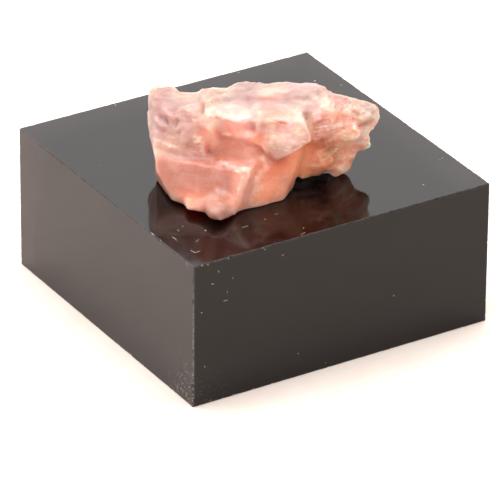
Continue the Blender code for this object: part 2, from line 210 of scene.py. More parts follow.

# Healed cracks, stained spots and darker patches, some of them painted shade: corners (a spot has one), half
# width, how dark, how brown, and how far they are sunk.
DARK_MARKS = {
    # Painted shade along the line beneath the terrace's edge.
    "under the terrace": (
        [(-3.5, -6.8, 7.5), (-2.6, -7.6, 7.7), (-1.2, -8.1, 7.9), (-0.3, -8.0, 8.0), (0.3, -7.5, 8.0)],
        0.16, 0.35, 0.0, 0.02,
    ),
    "wedge crack": ([(2.4, -8.0, 7.7), (2.9, -8.0, 7.6), (3.3, -8.0, 7.5)], 0.13, 0.6, 0.0, 0.02),
    "step crack": ([(-2.9, -10.1, 3.5), (-2.3, -10.5, 3.7), (-1.6, -10.9, 3.7)], 0.16, 0.45, 0.1, 0.02),
    "left crack": ([(-8.2, -4.3, 6.2), (-8.0, -5.3, 5.8)], 0.14, 0.4, 0.1, 0.03),
    "left crack two": ([(-7.5, -4.3, 6.5), (-7.1, -5.1, 6.3), (-7.3, -5.6, 5.8)], 0.16, 0.4, 0.0, 0.03),
    "shoulder spot": ([(5.1, -6.1, 7.4)], 0.32, 0.0, 0.9, 0.03),
    "lobe spot": ([(6.6, -6.3, 4.9)], 0.3, 0.0, 0.8, 0.02),
    "end spot": ([(9.9, -4.5, 6.8)], 0.32, 0.0, 0.8, 0.02),
    "wedge foot": ([(3.8, -8.6, 5.2), (4.3, -8.4, 5.3)], 0.16, 0.1, 0.5, 0.02),
    "lobe stain": ([(6.9, -6.5, 3.3), (7.3, -6.2, 3.3), (7.5, -5.8, 3.5)], 0.45, 0.1, 0.95, 0.02),
    "heel stain": ([(7.9, -5.4, 3.2), (8.0, -5.1, 1.8)], 0.35, 0.0, 0.8, 0.02),
    "bump stain": ([(6.0, -6.2, 6.4), (5.9, -6.5, 5.8), (6.0, -6.6, 5.1)], 0.4, 0.0, 0.35, 0.0),
    "wedge blush": ([(1.0, -8.3, 7.3)], 0.7, 0.25, 0.0, 0.0),
    # Painted shade in the recess.
    "recess shade": ([(0.5, -8.9, 4.9)], 0.5, 0.3, 0.0, 0.0),
    # Painted shade along the front crease.
    "front crease": ([(2.7, -8.6, 4.0), (2.2, -9.1, 3.4), (1.7, -9.5, 2.8)], 0.4, 0.15, 0.0, 0.0),
    "lilac streak": (
        [(3.0, -4.7, 8.8), (4.9, -4.7, 8.6), (6.8, -4.6, 8.2), (8.4, -4.1, 7.5)], 0.35, 0.18, 0.0, 0.0,
    ),
}

# How the stone's colour changes from place to place: centre, reach, frost, warmth, painted light, and stain.
# Painted light lightens the colour, past FULL_GLOW paints a glow for light let through, and below zero paints
# shade.
ZONES = {
    "knob": ((-8.6, -1.7, 7.3), 1.6, 0.65, 0.60, -0.45, 0.0),
    "left face": ((-7.9, -4.7, 6.0), 2.0, 0.66, 0.0, -0.28, 0.0),
    "left shelf": ((-6.5, -7.0, 5.0), 1.8, 0.45, 0.0, -0.05, 0.0),
    "lower left": ((-5.4, -10.0, 2.5), 2.6, 0.05, 0.0, -0.20, 0.0),
    "lower left foot": ((-6.0, -11.0, 1.0), 1.2, 0.0, 0.20, 0.40, 0.0),
    "left toe": ((-6.3, -12.3, 0.4), 0.8, -0.05, 0.05, -0.15, 0.0),
    "tip": ((-2.8, -13.2, 1.3), 1.3, 0.10, 0.0, -0.30, 0.0),
    "recess": ((-1.7, -8.5, 4.9), 1.6, 0.10, 0.20, 0.0, 0.0),
    "recess top": ((0.2, -8.3, 5.9), 0.9, 0.05, 0.30, 0.20, 0.0),
    "under the terrace": ((-1.6, -7.8, 7.0), 0.9, 0.18, 0.25, 0.60, 0.0),
    "recess corner": ((-4.4, -7.3, 5.4), 0.8, 0.30, 0.15, 0.70, 0.0),
    "terrace": ((-1.2, -6.9, 8.0), 1.5, 1.0, 0.30, -0.30, 0.0),
    "crown": ((3.0, -4.5, 8.8), 2.2, 0.85, 0.30, -0.33, 0.0),
    "crown back": ((1.0, -2.0, 8.7), 2.2, 0.80, 0.65, -0.50, 0.05),
    "crown front": ((1.8, -5.0, 8.6), 0.9, 0.40, 0.50, 0.15, 0.0),
    "wedge top": ((2.1, -6.8, 8.2), 1.5, 0.36, 0.30, -0.16, 0.0),
    "wedge": ((3.0, -8.2, 7.0), 1.3, 0.85, 0.85, 0.05, 0.0),
    "wedge low": ((2.3, -9.2, 4.7), 0.9, 0.40, 0.95, -0.30, 0.05),
    "lower right": ((1.9, -10.2, 0.8), 1.4, 0.0, 0.40, 1.25, 0.0),
    "front face": ((2.1, -9.3, 3.4), 1.1, -0.05, 0.60, 0.35, 0.0),
    "prow": ((-0.6, -11.4, 2.6), 1.1, 0.20, 0.0, 0.20, 0.0),
    "prow foot": ((-1.2, -12.2, 0.9), 0.9, 0.0, 0.0, 1.05, 0.0),
    "right low": ((4.5, -7.1, 2.7), 1.5, -0.05, 1.0, 1.10, 0.10),
    "lobe": ((7.8, -5.8, 5.8), 1.9, 0.40, 1.0, 0.05, 0.10),
    "lobe hollow": ((9.0, -4.8, 4.9), 0.9, 0.10, 0.60, 1.30, 0.10),
    "lobe low": ((6.2, -6.8, 3.1), 1.5, -0.30, 1.0, 0.15, 0.40),
    "right tip": ((11.0, -3.4, 6.7), 1.6, 0.70, 0.20, -0.43, 0.0),
    "right rim": ((11.4, -3.0, 4.6), 0.9, 0.30, 0.05, 1.20, 0.0),
    "heel": ((8.9, -4.6, 2.0), 1.2, 0.0, 0.05, 1.20, 0.05),
    "back": ((-2.0, 1.5, 4.0), 4.0, 0.60, 0.10, -0.30, 0.0),
    "back right": ((7.0, 0.8, 4.0), 3.0, 0.60, 0.50, -0.30, 0.12),
    "underside": ((0.0, -5.0, 0.5), 3.5, 0.05, 0.20, 0.30, 0.0),
    "left end": ((-10.0, -1.0, 4.0), 2.2, 0.65, 0.0, -0.15, 0.0),
}

# A mark's edge: how ragged it is, where it fades across the half width, and how it comes and goes.
MARK_RAGGEDNESS = 0.45
MARK_FADE = (0.15, 1.5)
MARK_GAPS = (-0.35, 0.20)
MARK_LEAST = 0.35

# A seam between two blocks that has healed smooth: its ends and its half width.
HEALED_SEAM = [(-3.2, -9.9, 3.7), (-2.9, -11.8, 1.8)]
HEALED_WIDTH = 0.9
HEALING_PASSES = 60

# The upper left block and the right end lean out over their feet: the direction, how far, and where they
# start and end, up the stone and along it.
LEAN = Vector((0.0, -0.881, 0.474))
LEFT_LEAN = 2.2
LEFT_LEAN_RISE = (4.2, 7.2)
LEFT_LEAN_START = (-10.3, -9.2)
LEFT_LEAN_END = (-4.5, -2.0)
RIGHT_LEAN = 1.4
RIGHT_LEAN_RISE = (2.5, 4.6)
RIGHT_LEAN_START = (8.3, 10.3)

# Crests are found by smoothing the surface: the passes, and from where to where one counts, in millimetres.
NARROW_PASSES = 6
NARROW_CREST = (0.012, 0.06)
BROAD_PASSES = 60
BROAD_CREST = (0.05, 0.25)

# Painted highlight on crests, painted shade in hollows: white gained and lost, narrow ones first; warmth in
# broad hollows.
CREST_HIGHLIGHT = (0.22, 0.15)
HOLLOW_SHADE = (0.12, 0.10)
HOLLOW_SHADE_WARMTH = 0.25

# Where the stone is thin under its skin, in millimetres, and the painted light let through there: warmer and
# lighter.
SKIN = 0.15
THIN = 0.3
THICK = 2.5
THIN_WARMTH = 0.3
THIN_GLOW = 0.1


def ease(low, high, value):
    """0 below low, 1 above high, eased between; takes a number or an array."""
    share = np.clip((value - low) / (high - low), 0.0, 1.0)
    return share * share * (3.0 - 2.0 * share)


def new_object(name, data):
    made = bpy.data.objects.new(name, data)
    bpy.context.scene.collection.objects.link(made)
    return made


def mesh_of(shape, name):
    """The bmesh as a mesh of the given name."""
    mesh = bpy.data.meshes.new(name)
    shape.to_mesh(mesh)
    shape.free()
    return mesh


def remeshed(mesh, voxel):
    """One closed skin over the mesh, on a grid of the given size."""
    carrier = new_object("carrier", mesh)
    grid = carrier.modifiers.new("grid", "REMESH")
    grid.mode = "VOXEL"
    grid.voxel_size = voxel
    graph = bpy.context.evaluated_depsgraph_get()
    graph.update()
    result = bpy.data.meshes.new_from_object(carrier.evaluated_get(graph))
    bpy.data.objects.remove(carrier, do_unlink=True)
    return result


def stone_copy():
    """The solid stone, merged and brought into its own frame."""
    shape = bmesh.new()
    shape.from_mesh(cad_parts["fluorite"].data)
    bmesh.ops.remove_doubles(shape, verts=shape.verts, dist=0.001 * MM)
    bmesh.ops.transform(shape, matrix=TO_STONE, verts=shape.verts)
    return mesh_of(shape, "stone")


def places(mesh):
    """Where each point of the mesh is, as an array."""
    flat = np.empty(len(mesh.vertices) * 3)
    mesh.vertices.foreach_get("co", flat)
    return flat.reshape(-1, 3)


def put_places(mesh, points):
    mesh.vertices.foreach_set("co", points.ravel())
    mesh.update()


def facings(mesh):
    """Which way the surface faces at each point, as an array."""
    flat = np.empty(len(mesh.vertices) * 3)
    mesh.vertices.foreach_get("normal", flat)
    return flat.reshape(-1, 3)


def wander(points, size, shift=0.0):
    """Smooth noise from -1 to 1 at each point, in features of the given size; shift picks another pattern."""
    return np.array([noise.noise(Vector(p) / size + Vector((shift, shift, shift))) for p in points])


def bent(points):
    """The points moved about by slow noise, less on clean faces and towards the foot."""
    moved = points.copy()
    for size, reach in BENDS:
        moved += reach * np.array([noise.noise_vector(Vector(point) / size) for point in points])
    share = ease(*BEND_RISE, points[:, 2]) * (BEND_LEAST + (1.0 - BEND_LEAST) * brokenness(points))
    return points + share[:, None] * (moved - points)


def wedge_share(points):
    """1 in the middle of the wedge, 0 beyond its reach."""
    return 1.0 - ease(0.5, 1.0, np.linalg.norm((points - WEDGE) / WEDGE_REACH, axis=1))


def brokenness(points):
    """How rough the stone is: low on clean cleavage faces, high on the left block, the top and the lobe."""
    x, y, z = points.T
    parts = {
        "left block": ease(*LEFT_BLOCK_RISE, z) * (1.0 - ease(*LEFT_BLOCK_END, x)),
        "lobe": ease(*LOBE_START, x),
        "top": ease(*TOP_RISE, z),
        "back": ease(*BACK_START, y),
        "wedge": wedge_share(points),
        "step": 1.0 - ease(*STEP_REACH, line_distance(points, WHITE_MARKS["step ridge"][0])),
        "clean": np.ones(len(x)),
    }
    return np.maximum.reduce([BROKEN[name] * share for name, share in parts.items()])


def stepped(points, direction, step):
    """How far along the direction each point moves to lie on its tread."""
    height = points @ np.array(direction) + LAYER_WANDER * wander(points, LAYER_PATCH)
    level = height / step
    tread = np.floor(level)
    return (tread + ease(*RISER, level - tread)) * step - height


def chip_heights(points):
    """Height of the flat chip that each point of a broken face lies on."""
    heights = np.empty(len(points))
    for index, point in enumerate(points):
        spot = Vector((point[0] / CHIP_SIZE.x, point[1] / CHIP_SIZE.y, point[2] / CHIP_SIZE.z))
        centre = noise.voronoi(spot)[1][0]
        tilt = noise.noise_vector(centre * TILT_FROM)
        offset = spot - centre
        reach = Vector((offset.x * CHIP_SIZE.x, offset.y * CHIP_SIZE.y, offset.z * CHIP_SIZE.z))
        heights[index] = CHIP_TILT * reach.dot(tilt) + CHIP_STEP * noise.noise(centre * STEP_FROM)
    return heights


def line_distance(points, corners):
    """Distance from each point to the line through the corners."""
    nearest = np.full(len(points), np.inf)
    for start, end in zip(corners, corners[1:] or corners):
        start, span = np.array(start), np.array(end) - np.array(start)
        share = np.clip((points - start) @ span / max(span @ span, 1e-9), 0.0, 1.0)
        nearest = np.minimum(nearest, np.linalg.norm(points - start - share[:, None] * span, axis=1))
    return nearest


def mark_masks(points, marks):
    """For each mark, 1 on it and 0 beyond its half width, with a ragged, broken edge."""
    ragged = MARK_RAGGEDNESS * wander(points, 0.35, 4.0)
    ragged += MARK_RAGGEDNESS * wander(points * (0.5, 0.5, 2.0), 0.5, 9.0)
    present = MARK_LEAST + (1.0 - MARK_LEAST) * ease(*MARK_GAPS, wander(points, 0.7, 6.0))
    masks = {}
    for name, (corners, half_width, *_) in marks.items():
        across = line_distance(points, corners) / half_width
        masks[name] = (1.0 - ease(*MARK_FADE, across + ragged)) * present
    return masks


def smoothed(mesh, points, passes):
    """The points after each has moved to the middle of its neighbours, several times over."""
    pairs = np.empty(len(mesh.edges) * 2, dtype=np.int64)
    mesh.edges.foreach_get("vertices", pairs)
    first, second = pairs.reshape(-1, 2).T
    count = np.bincount(np.concatenate([first, second]), minlength=len(points))[:, None]
    result = points.copy()
    for _ in range(passes):
        sums = np.zeros_like(result)
        for axis in range(3):
            sums[:, axis] += np.bincount(first, result[second, axis], len(points))
            sums[:, axis] += np.bincount(second, result[first, axis], len(points))
        result = sums / count
    return result


def leaned(points):
    """The points with the upper left block and the right end leaning out."""
    x, _, z = points.T
    left = LEFT_LEAN * ease(*LEFT_LEAN_RISE, z) * ease(*LEFT_LEAN_START, x)
    left *= 1.0 - ease(*LEFT_LEAN_END, x)
    right = RIGHT_LEAN * ease(*RIGHT_LEAN_RISE, z) * ease(*RIGHT_LEAN_START, x)
    return points + (left + right)[:, None] * np.array(LEAN)


def soften(mesh):
    """Wears the edges, heals the seam and bends the surface a little."""
    points = smoothed(mesh, places(mesh), SOFTENING_PASSES)
    healed = 1.0 - ease(0.5, 1.0, line_distance(points, HEALED_SEAM) / HEALED_WIDTH)
    points += healed[:, None] * (smoothed(mesh, points, HEALING_PASSES) - points)
    points = bent(points)
    put_places(mesh, points)
    return points


def relief(points):
    """How far each point stands out: its chip, flakes, ripples and raised or sunk marks."""
    rough = brokenness(points)
    heights = rough * chip_heights(points)
    heights += rough * FLAKE_HEIGHT * wander(points, FLAKE_SIZE)
    heights += (1.0 - rough) * RIPPLE_HEIGHT * wander(points, RIPPLE_SIZE)
    white = mark_masks(points, WHITE_MARKS)
    dark = mark_masks(points, DARK_MARKS)
    for name, (_, _, _, stand_out) in WHITE_MARKS.items():
        heights += stand_out * white[name]
    for name, (_, _, _, _, sunk) in DARK_MARKS.items():
        heights -= sunk * dark[name]
    return heights


def treads(points):
    """How each point moves to lie on the treads of both sets of layers."""
    broken = ease(*STEPPED_FROM, brokenness(points))
    layered = ease(*LAYER_SHOWS, wander(points, LAYER_FIELD, 7.0)) * broken
    layered *= 1.0 - LAYER_LOSS_ON_WEDGE * wedge_share(points)
    crossed = ease(*CROSS_SHOWS, wander(points, CROSS_FIELD, 3.0)) * broken
    along = LAYER_PULL * layered * stepped(points, LAYERS, LAYER_STEP)
    across = CROSS_PULL * crossed * stepped(points, CROSS_LAYERS, CROSS_STEP)
    return along[:, None] * np.array(LAYERS) + across[:, None] * np.array(CROSS_LAYERS)


def carve(mesh):
    """Gives the stone its worn edges, relief and treads, and settles it on the block."""
    points = soften(mesh)
    moved = points + facings(mesh) * relief(points)[:, None]
    moved += treads(points)
    moved[:, 2] -= SETTLE_DEPTH * (1.0 - ease(*SETTLE_HEIGHTS, moved[:, 2]))
    moved[:, 2] = np.maximum(moved[:, 2], LOWEST)
    put_places(mesh, moved)


def crests(mesh, passes):
    """How far each point stands out from the smoothed surface, in millimetres."""
    points = places(mesh)
    return np.einsum("ij,ij->i", points - smoothed(mesh, points, passes), facings(mesh))


def thinness(mesh):
    """1 where the stone is thin under the surface, 0 where it is thick."""
    tree = BVHTree.FromPolygons([v.co for v in mesh.vertices], [p.vertices for p in mesh.polygons])
    depths = np.full(len(mesh.vertices), THICK)
    for index, vert in enumerate(mesh.vertices):
        start = vert.co - vert.normal * SKIN
        hit = tree.ray_cast(start, -vert.normal, THICK)
        if hit[0] is not None:
            depths[index] = hit[3]
    return 1.0 - ease(THIN, THICK, depths)


def zone_values(points):
    """Frost, warmth, painted light and shade, and stain at each point, shared between the zones by how near
    they are.
    """
    weight_sum = np.zeros(len(points))
    sums = np.zeros((4, len(points)))
    for centre, reach, *values in ZONES.values():
        away = np.linalg.norm(points - np.array(centre), axis=1) / reach
        # The tiny floor keeps the sum of weights above zero far from every zone.
        weight = np.exp(-np.minimum(away * away, 60.0)) + 1e-9
        weight_sum += weight
        sums += np.outer(values, weight)
    return sums / weight_sum


def paint(mesh):
    """Writes frost with painted highlights, cream, warmth, painted light and shade, cracks with painted
    shade, stain and brokenness on the stone's points.
    """
    points = places(mesh)
    frost_and_sheen, warmth, painted_light, stain = zone_values(points)
    narrow, broad = crests(mesh, NARROW_PASSES), crests(mesh, BROAD_PASSES)
    # Painted highlight along crests and painted shade in hollows.
    frost_and_sheen += CREST_HIGHLIGHT[0] * ease(*NARROW_CREST, narrow) + CREST_HIGHLIGHT[1] * ease(*BROAD_CREST, broad)
    frost_and_sheen -= HOLLOW_SHADE[0] * ease(*NARROW_CREST, -narrow) + HOLLOW_SHADE[1] * ease(*BROAD_CREST, -broad)
    warmth += HOLLOW_SHADE_WARMTH * ease(*BROAD_CREST, -broad)
    # Painted light let through thin places: warmer and lighter.
    thin = thinness(mesh)
    warmth += THIN_WARMTH * thin
    painted_light += THIN_GLOW * thin

    crack_and_shade = np.zeros(len(points))
    white = mark_masks(points, WHITE_MARKS)
    for name, (_, _, whiteness, _) in WHITE_MARKS.items():
        frost_and_sheen = np.maximum(frost_and_sheen, white[name] * whiteness)
    dark = mark_masks(points, DARK_MARKS)
    for name, (_, _, darkness, brown, _) in DARK_MARKS.items():
        crack_and_shade = np.maximum(crack_and_shade, dark[name] * darkness)
        stain = np.maximum(stain, dark[name] * brown)
        frost_and_sheen *= 1.0 - dark[name] * max(darkness, brown)

    write_values(mesh, "painted_light", painted_light)
    write_values(mesh, "broken", brokenness(points))
    write_values(mesh, "cream", np.maximum.reduce([white[name] for name in CREAM_MARKS]))
    for name, values in (("frost_and_sheen", frost_and_sheen), ("warmth", warmth), ("crack_and_shade", crack_and_shade), ("stain", stain)):
        write_values(mesh, name, np.clip(values, 0.0, 1.0))


def write_values(mesh, name, values):
    layer = mesh.attributes.new(name, "FLOAT", "POINT")
    layer.data.foreach_set("value", values.astype(np.float32))


def make_stone(mottle, specks):
    """The stone: a fine copy of the solid one, carved and painted upright, then leaned and set down."""
    mesh = remeshed(stone_copy(), FINE_VOXEL)
    carve(mesh)
    paint(mesh)
    put_places(mesh, leaned(places(mesh)))
    mesh.transform(TO_TABLE)
    mesh.shade_smooth()
    mesh.set_sharp_from_angle(angle=SHARP_ANGLE)
    mesh.materials.append(fluorite_finish(mottle, specks))
    return new_object("fluorite_stone", mesh)


# ---------------------------------------------------------------- shader helpers

def add(tree, kind, **settings):
    """A new node of the kind, with its settings."""
    made = tree.nodes.new(kind)
    for name, value in settings.items():
        setattr(made, name, value)
    return made


def feed(tree, socket, value):
    """Links a socket to the input, or sets the input's own value."""
    if isinstance(value, bpy.types.NodeSocket):
        tree.links.new(value, socket)
    else:
        socket.default_value = value


def calc(tree, operation, first, second=0.0, clamp=False):
    made = add(tree, "ShaderNodeMath", operation=operation, use_clamp=clamp)
    feed(tree, made.inputs[0], first)
    feed(tree, made.inputs[1], second)
    return made.outputs[0]


def total(tree, *values):
    """Adds several values and keeps the sum between 0 and 1."""
    result = values[0]
    for value in values[1:]:
        result = calc(tree, "ADD", result, value)
    return calc(tree, "MAXIMUM", calc(tree, "MINIMUM", result, 1.0), 0.0)


def calc_vector(tree, operation, *values):
    """A vector sum, product or measure; gives the node, for its Vector or its Value."""
    made = add(tree, "ShaderNodeVectorMath", operation=operation)
    for socket, value in zip(made.inputs, values):
        feed(tree, socket, value)
    return made


def spread(tree, value, low, high, to_low=0.0, to_high=1.0):
    """Eases a value from one range to another."""
    made = add(tree, "ShaderNodeMapRange", interpolation_type="SMOOTHSTEP")
    names = ("Value", "From Min", "From Max", "To Min", "To Max")
    for name, number in zip(names, (value, low, high, to_low, to_high)):
        feed(tree, made.inputs[name], number)
    return made.outputs[0]


def blend(tree, share, first, second):
    """Mixes two colours."""
    made = add(tree, "ShaderNodeMix", data_type="RGBA")
    feed(tree, made.inputs["Factor"], share)
    feed(tree, made.inputs["A"], first)
    feed(tree, made.inputs["B"], second)
    return made.outputs["Result"]


def noise_node(tree, vector, scale):
    made = add(tree, "ShaderNodeTexNoise")
    feed(tree, made.inputs["Vector"], vector)
    made.inputs["Scale"].default_value = scale
    return made


def cloud(tree, vector, scale, detail=3.0, roughness=0.5, distortion=0.0):
    """Noise from 0 to 1; the scale is how many features fit in one unit of the coordinates."""
    made = noise_node(tree, vector, scale)
    made.inputs["Detail"].default_value = detail
    made.inputs["Roughness"].default_value = roughness
    made.inputs["Distortion"].default_value = distortion
    return made.outputs["Fac"]


def drifted(tree, vector, scale, reach):
    """The coordinates moved about by noise, up to the reach along each axis."""
    drift = noise_node(tree, vector, scale).outputs["Color"]
    return calc_vector(tree, "MULTIPLY_ADD", drift, reach, vector).outputs["Vector"]


def axes(tree, vector):
    """The x, y and z of a vector."""
    apart = add(tree, "ShaderNodeSeparateXYZ")
    feed(tree, apart.inputs["Vector"], vector)
    return apart.outputs["X"], apart.outputs["Y"], apart.outputs["Z"]


def stretched(tree, vector, stretch):
    """The coordinates multiplied along each axis."""
    made = add(tree, "ShaderNodeMapping")
    feed(tree, made.inputs["Vector"], vector)
    made.inputs["Scale"].default_value = stretch
    return made.outputs["Vector"]


def millimetres(tree, turn=0.0):
    """Object coordinates in millimetres, from the middle of the block's top, turned about the upright."""
    place = add(tree, "ShaderNodeTexCoord")
    lowered = add(tree, "ShaderNodeMapping")
    feed(tree, lowered.inputs["Vector"], place.outputs["Object"])
    lowered.inputs["Scale"].default_value = (1.0 / MM, 1.0 / MM, 1.0 / MM)
    lowered.inputs["Rotation"].default_value = (0.0, 0.0, turn)
    lowered.inputs["Location"].default_value = (0.0, 0.0, -BLOCK_TOP / MM)
    return lowered.outputs["Vector"]


def painted(tree, name):
    """A value that was written on the mesh's points."""
    made = add(tree, "ShaderNodeAttribute", attribute_name=name)
    return made.outputs["Fac"]


def rough_bump(tree, shader, height, strength, distance):
    """Feeds the shader's Normal with a bump of the given height."""
    bump = add(tree, "ShaderNodeBump")
    bump.inputs["Strength"].default_value = strength
    bump.inputs["Distance"].default_value = distance
    feed(tree, bump.inputs["Height"], height)
    feed(tree, shader.inputs["Normal"], bump.outputs["Normal"])


def new_material(name):
    """A new material, its tree and its shader."""
    finish = bpy.data.materials.new(name)
    finish.use_nodes = True
    tree = finish.node_tree
    return finish, tree, tree.nodes["Principled BSDF"]


def new_group(name, inputs, outputs):
    """An empty shader node group; each input has its number, or None where it is a vector."""
    group = bpy.data.node_groups.new(name, "ShaderNodeTree")
    for title, value in inputs.items():
        kind = "NodeSocketVector" if value is None else "NodeSocketFloat"
        socket = group.interface.new_socket(name=title, in_out="INPUT", socket_type=kind)
        if value is not None:
            socket.default_value = value
    for title in outputs:
        group.interface.new_socket(name=title, in_out="OUTPUT", socket_type="NodeSocketFloat")
    return group, add(group, "NodeGroupInput"), add(group, "NodeGroupOutput")


def placed_group(tree, group, vector, **values):
    """The group in a material's tree, with its own values."""
    made = add(tree, "ShaderNodeGroup", node_tree=group)
    feed(tree, made.inputs["Vector"], vector)
    for title, value in values.items():
        feed(tree, made.inputs[title], value)
    return made


# ---------------------------------------------------------------- effects that the materials place

def make_mottle():
    """Cloudy unevenness about zero: broad clouds with fine grain on them."""
    group, given, result = new_group("mottle", {"Vector": None, "Clouds": 0.2, "Grain": 0.05}, ("Value",))
    vector = given.outputs["Vector"]
    clouds = spread(group, cloud(group, vector, 0.55, 4.0, 0.55, 0.8), 0.3, 0.7, -1.0, 1.0)
    grain = spread(group, cloud(group, vector, 3.6, 3.0, 0.6, 0.3), 0.28, 0.72, -1.0, 1.0)
    value = calc(
        group, "ADD",
        calc(group, "MULTIPLY", clouds, given.outputs["Clouds"]),
        calc(group, "MULTIPLY", grain, given.outputs["Grain"]),
    )
    feed(group, result.inputs["Value"], value)
    return group


def make_specks():
    """Small ragged specks of dust or mineral: Amount is the share of cells that hold one, Reach its size."""
    group, given, result = new_group("specks", {"Vector": None, "Amount": 0.1, "Reach": 0.2}, ("Mask",))
    cells = add(group, "ShaderNodeTexVoronoi")
    feed(group, cells.inputs["Vector"], drifted(group, given.outputs["Vector"], 4.5, (0.45, 0.45, 0.45)))
    cells.inputs["Scale"].default_value = 1.0
    colour = add(group, "ShaderNodeSeparateColor")
    feed(group, colour.inputs["Color"], cells.outputs["Color"])
    held = calc(group, "LESS_THAN", colour.outputs["Red"], given.outputs["Amount"])
    reach = calc(group, "MULTIPLY", given.outputs["Reach"], calc(group, "ADD", colour.outputs["Green"], 0.4))
    inside = calc(group, "SUBTRACT", reach, cells.outputs["Distance"])
    speck = spread(group, inside, 0.0, 0.08)
    feed(group, result.inputs["Mask"], calc(group, "MULTIPLY", held, speck))
    return group


def make_fleck():
    """A ragged fleck or short scratch from Start to End; Reach is half its width."""
    inputs = {"Vector": None, "Start": None, "End": None, "Reach": 0.08}
    group, given, result = new_group("fleck", inputs, ("Mask",))
    place, start, end, reach = (given.outputs[name] for name in inputs)
    span = calc_vector(group, "SUBTRACT", end, start).outputs["Vector"]
    offset = calc_vector(group, "SUBTRACT", place, start).outputs["Vector"]
    along = calc_vector(group, "DOT_PRODUCT", offset, span).outputs["Value"]
    whole = calc_vector(group, "DOT_PRODUCT", span, span).outputs["Value"]
    share = calc(group, "DIVIDE", along, calc(group, "MAXIMUM", whole, 1e-6), clamp=True)
    nearest = add(group, "ShaderNodeVectorMath", operation="SCALE")
    feed(group, nearest.inputs[0], span)
    feed(group, nearest.inputs["Scale"], share)
    away = calc_vector(group, "DISTANCE", offset, nearest.outputs["Vector"]).outputs["Value"]
    ragged = calc(group, "MULTIPLY", calc(group, "SUBTRACT", cloud(group, place, 9.0), 0.5), 0.26)
    mask = spread(group, calc(group, "ADD", away, ragged), reach, calc(group, "MULTIPLY", reach, 0.3))
    feed(group, result.inputs["Mask"], mask)
    return group


# ---------------------------------------------------------------- the stone's material

SALMON = (0.62, 0.235, 0.165, 1.0)
ORANGE = (0.66, 0.19, 0.095, 1.0)
LILAC_WHITE = (0.84, 0.61, 0.59, 1.0)
CREAM_WHITE = (0.96, 0.80, 0.66, 1.0)
CRACK_AND_SHADE_RED = (0.45, 0.11, 0.09, 1.0)
STAIN_BROWN = (0.36, 0.17, 0.07, 1.0)
STAIN_OLIVE = (0.42, 0.33, 0.17, 1.0)
NO_LIGHT = (0.0, 0.0, 0.0, 1.0)

# How much each pattern whitens the stone: broad veils and narrow wisps along the layers, thin traces of
# cleavage, and cloudy patches that are clearer.
VEIL_FROST = 0.13
WISP_FROST = 0.16
TRACE_FROST = 0.40
CLOUD_FROST = -0.25
FULL_FROST = 0.92

# How much the specks and the broad stains darken it, and the share of broken places that specks lie on.
SPECK_STAIN = 0.55
BROAD_STAIN = 0.75
STREWN = 0.05

# Painted light up to this much lightens the colour; beyond it, a share is emitted as a painted glow for light
# from behind.
FULL_GLOW = 0.6
PAINTED_GLOW_SHARE = 0.5


def layer_patterns(tree, place):
    """Veils, wisps and traces along the stone's layers."""
    # The layers wander, so their coordinates drift before they are stretched.
    layers = stretched(tree, drifted(tree, place, 0.3, (3.0, 3.0, 2.2)), (0.30, 0.45, 1.7))
    veils = spread(tree, cloud(tree, layers, 1.0, 4.0, 0.58, 0.4), 0.34, 0.68, -1.0, 1.0)
    wisps = spread(tree, cloud(tree, layers, 2.6, 3.0, 0.6, 0.6), 0.56, 0.74)
    apart = calc(tree, "ABSOLUTE", calc(tree, "SUBTRACT", cloud(tree, layers, 1.5, 3.0, 0.55, 0.6), 0.5))
    here = spread(tree, cloud(tree, place, 0.9, 2.0, 0.5, 0.3), 0.42, 0.58)
    traces = calc(tree, "MULTIPLY", spread(tree, apart, 0.030, 0.004), here)
    return veils, wisps, traces


def stain_share(tree, place, specks, stain, broken):
    """How much of the stain's colour shows: broad stains, specks in them and a few on broken places."""
    spotted = placed_group(tree, specks, stretched(tree, place, (1.6, 1.6, 1.6)), Reach=0.28)
    strewn = calc(tree, "MULTIPLY", spread(tree, broken, 0.55, 0.8), STREWN)
    feed(tree, spotted.inputs["Amount"], calc(tree, "ADD", calc(tree, "MULTIPLY", stain, 0.8), strewn))
    spots = calc(tree, "MULTIPLY", spotted.outputs["Mask"], SPECK_STAIN)
    return total(tree, spots, calc(tree, "MULTIPLY", stain, BROAD_STAIN))


